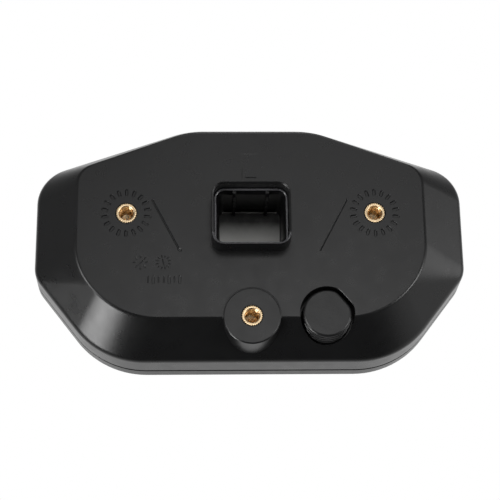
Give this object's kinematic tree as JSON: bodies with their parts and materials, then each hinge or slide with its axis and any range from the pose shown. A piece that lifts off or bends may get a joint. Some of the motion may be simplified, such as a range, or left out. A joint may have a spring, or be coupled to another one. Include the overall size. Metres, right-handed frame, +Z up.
{
  "type": "motorcycle instrument cluster",
  "caption": "Eight-sided display dash with a chamfered rear case, brass threaded inserts, a collared connector, a round vent and sprung push buttons below the lens.",
  "frame": {"origin": "on the flat back face, on the mid-plane, halfway between the upper and the lower row of mounting inserts", "axes": "+Z up as mounted, +Y out of the back face towards the bracket, -Y towards the rider, +X to the rider's right"},
  "size_m": [0.1736, 0.0446, 0.0991],
  "materials": {
    "case_plastic": "black ASA, fine even texture, satin on the slopes",
    "bezel_plastic": "black ASA, fine satin texture",
    "connector_plastic": "glass-filled PBT, dull black",
    "wafer_plastic": "natural pale PBT",
    "seal_rubber": "black silicone",
    "button_rubber": "soft-touch black silicone",
    "brass": "machined, bright",
    "tin": "tin-plated",
    "steel": "zinc-plated",
    "can_aluminium": "drawn can",
    "lens_clear": "hard-coated clear window",
    "mask_black": "printed black",
    "display_glass": "dark panel, lit when on",
    "backlight_white": "white diffuser",
    "guide_clear": "clear light guide",
    "flex_amber": "polyimide ribbon",
    "board_green": "solder-masked board",
    "chip_black": "moulded packages",
    "membrane": "white porous film"
  },
  "bodies": {
    "cluster": {"rear_case": "case_plastic", "front_bezel": "bezel_plastic", "case_gasket": "seal_rubber", "insert_upper_left": "brass", "insert_upper_right": "brass", "insert_lower": "brass", "connector_header": "connector_plastic", "connector_wafer": "wafer_plastic", "vent_cap": "case_plastic", "vent_body": "connector_plastic", "vent_seal": "seal_rubber", "vent_membrane": "membrane", "lens": "lens_clear", "lens_seal": "seal_rubber", "mask_panel": "mask_black", "display_can": "steel", "display_glass": "display_glass", "display_backlight": "backlight_white", "display_flex": "flex_amber", "display_carrier": "connector_plastic", "light_guide_left": "guide_clear", "light_guide_right": "guide_clear", "main_board": "board_green", "flex_connector": "wafer_plastic", "processor": "chip_black", "memory_chip": "chip_black", "bus_transceiver": "chip_black", "power_inductor": "chip_black", "capacitor_1": "can_aluminium", "capacitor_2": "can_aluminium", "buzzer": "chip_black", "light_sensor": "chip_black", "button_boot_left": "seal_rubber", "button_boot_right": "seal_rubber", "tact_switch_left": "steel", "tact_switch_right": "steel", "connector_pin_1": "tin", "connector_pin_2": "tin", "connector_pin_3": "tin", "connector_pin_4": "tin", "connector_pin_5": "tin", "connector_pin_6": "tin", "connector_pin_7": "tin", "connector_pin_8": "tin", "board_screw_1": "steel", "board_screw_2": "steel", "board_screw_3": "steel", "board_screw_4": "steel", "board_screw_5": "steel", "board_screw_6": "steel", "carrier_screw_1": "steel", "carrier_screw_2": "steel", "carrier_screw_3": "steel"},
    "left_button": {"button_left": "button_rubber"},
    "right_button": {"button_right": "button_rubber"}
  },
  "joints": [
    {"name": "left_button_press", "type": "slide", "parent": "cluster", "child": "left_button", "axis": [0, 1, 0], "range_m": [0, 0.001], "stiffness_N_per_m": 2000, "springref_m": -0.0005},
    {"name": "right_button_press", "type": "slide", "parent": "cluster", "child": "right_button", "axis": [0, 1, 0], "range_m": [0, 0.001], "stiffness_N_per_m": 2000, "springref_m": -0.0005}
  ]
}
